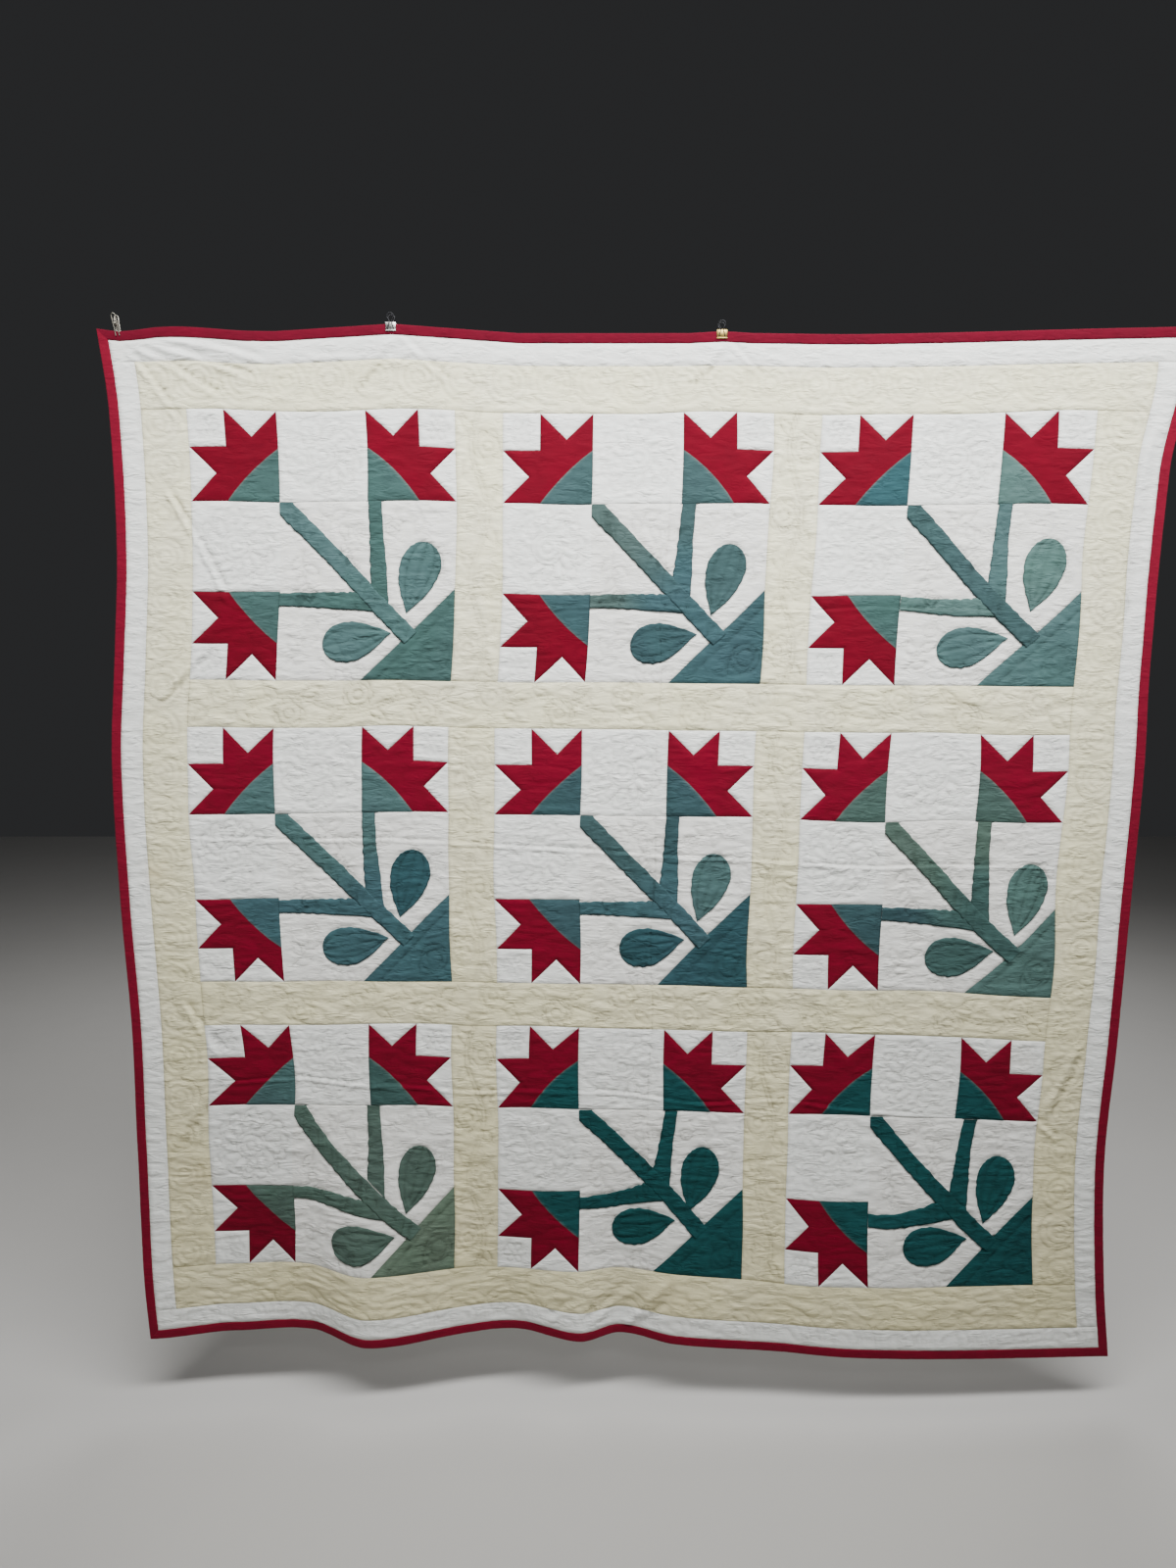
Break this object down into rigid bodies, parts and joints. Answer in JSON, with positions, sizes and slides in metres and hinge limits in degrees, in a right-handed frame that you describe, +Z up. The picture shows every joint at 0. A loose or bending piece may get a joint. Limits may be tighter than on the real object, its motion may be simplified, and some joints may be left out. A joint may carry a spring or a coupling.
{
  "type": "applique quilt with hanging clips",
  "caption": "Hand-quilted cotton quilt with pieced red lilies, green appliqué stems and leaves, cream sashing and a red binding, hung by its top edge from small clips.",
  "frame": {"origin": "middle of the top edge of the hanging quilt, halfway through its thickness", "axes": "+Z up, +X to the viewer's right, the pieced front faces -Y"},
  "size_m": [2.1104, 0.0576, 2.1256],
  "materials": {
    "white_cotton": "washed plain-weave cotton, quilted",
    "cream_cotton": "washed cream cotton, quilted",
    "red_cotton": "dyed red cotton, a little faded",
    "green_cotton": "dyed blue-green cotton, faded and mottled",
    "steel_plate": "bright plated spring steel",
    "brass_plate": "gold-coloured plated spring steel",
    "dark_wire": "dark plated spring wire",
    "bright_wire": "bare drawn wire, dulled"
  },
  "bodies": {
    "root": {"quilt_body": "white_cotton", "binding_top": "red_cotton", "binding_bottom": "red_cotton", "binding_left": "red_cotton", "binding_right": "red_cotton", "stem_long_11": "green_cotton", "stem_upright_11": "green_cotton", "stem_side_11": "green_cotton", "leaf_upper_11": "green_cotton", "leaf_lower_11": "green_cotton", "stem_long_12": "green_cotton", "stem_upright_12": "green_cotton", "stem_side_12": "green_cotton", "leaf_upper_12": "green_cotton", "leaf_lower_12": "green_cotton", "stem_long_13": "green_cotton", "stem_upright_13": "green_cotton", "stem_side_13": "green_cotton", "leaf_upper_13": "green_cotton", "leaf_lower_13": "green_cotton", "stem_long_21": "green_cotton", "stem_upright_21": "green_cotton", "stem_side_21": "green_cotton", "leaf_upper_21": "green_cotton", "leaf_lower_21": "green_cotton", "stem_long_22": "green_cotton", "stem_upright_22": "green_cotton", "stem_side_22": "green_cotton", "leaf_upper_22": "green_cotton", "leaf_lower_22": "green_cotton", "stem_long_23": "green_cotton", "stem_upright_23": "green_cotton", "stem_side_23": "green_cotton", "leaf_upper_23": "green_cotton", "leaf_lower_23": "green_cotton", "stem_long_31": "green_cotton", "stem_upright_31": "green_cotton", "stem_side_31": "green_cotton", "leaf_upper_31": "green_cotton", "leaf_lower_31": "green_cotton", "stem_long_32": "green_cotton", "stem_upright_32": "green_cotton", "stem_side_32": "green_cotton", "leaf_upper_32": "green_cotton", "leaf_lower_32": "green_cotton", "stem_long_33": "green_cotton", "stem_upright_33": "green_cotton", "stem_side_33": "green_cotton", "leaf_upper_33": "green_cotton", "leaf_lower_33": "green_cotton", "clip_silver": "steel_plate", "clip_gold": "brass_plate", "clip_silver_front_handle": "dark_wire", "clip_silver_rear_handle": "dark_wire", "clip_gold_front_handle": "dark_wire", "clip_gold_rear_handle": "dark_wire", "peg_front": "bright_wire", "peg_rear": "bright_wire", "peg_spring": "bright_wire"}
  },
  "joints": []
}
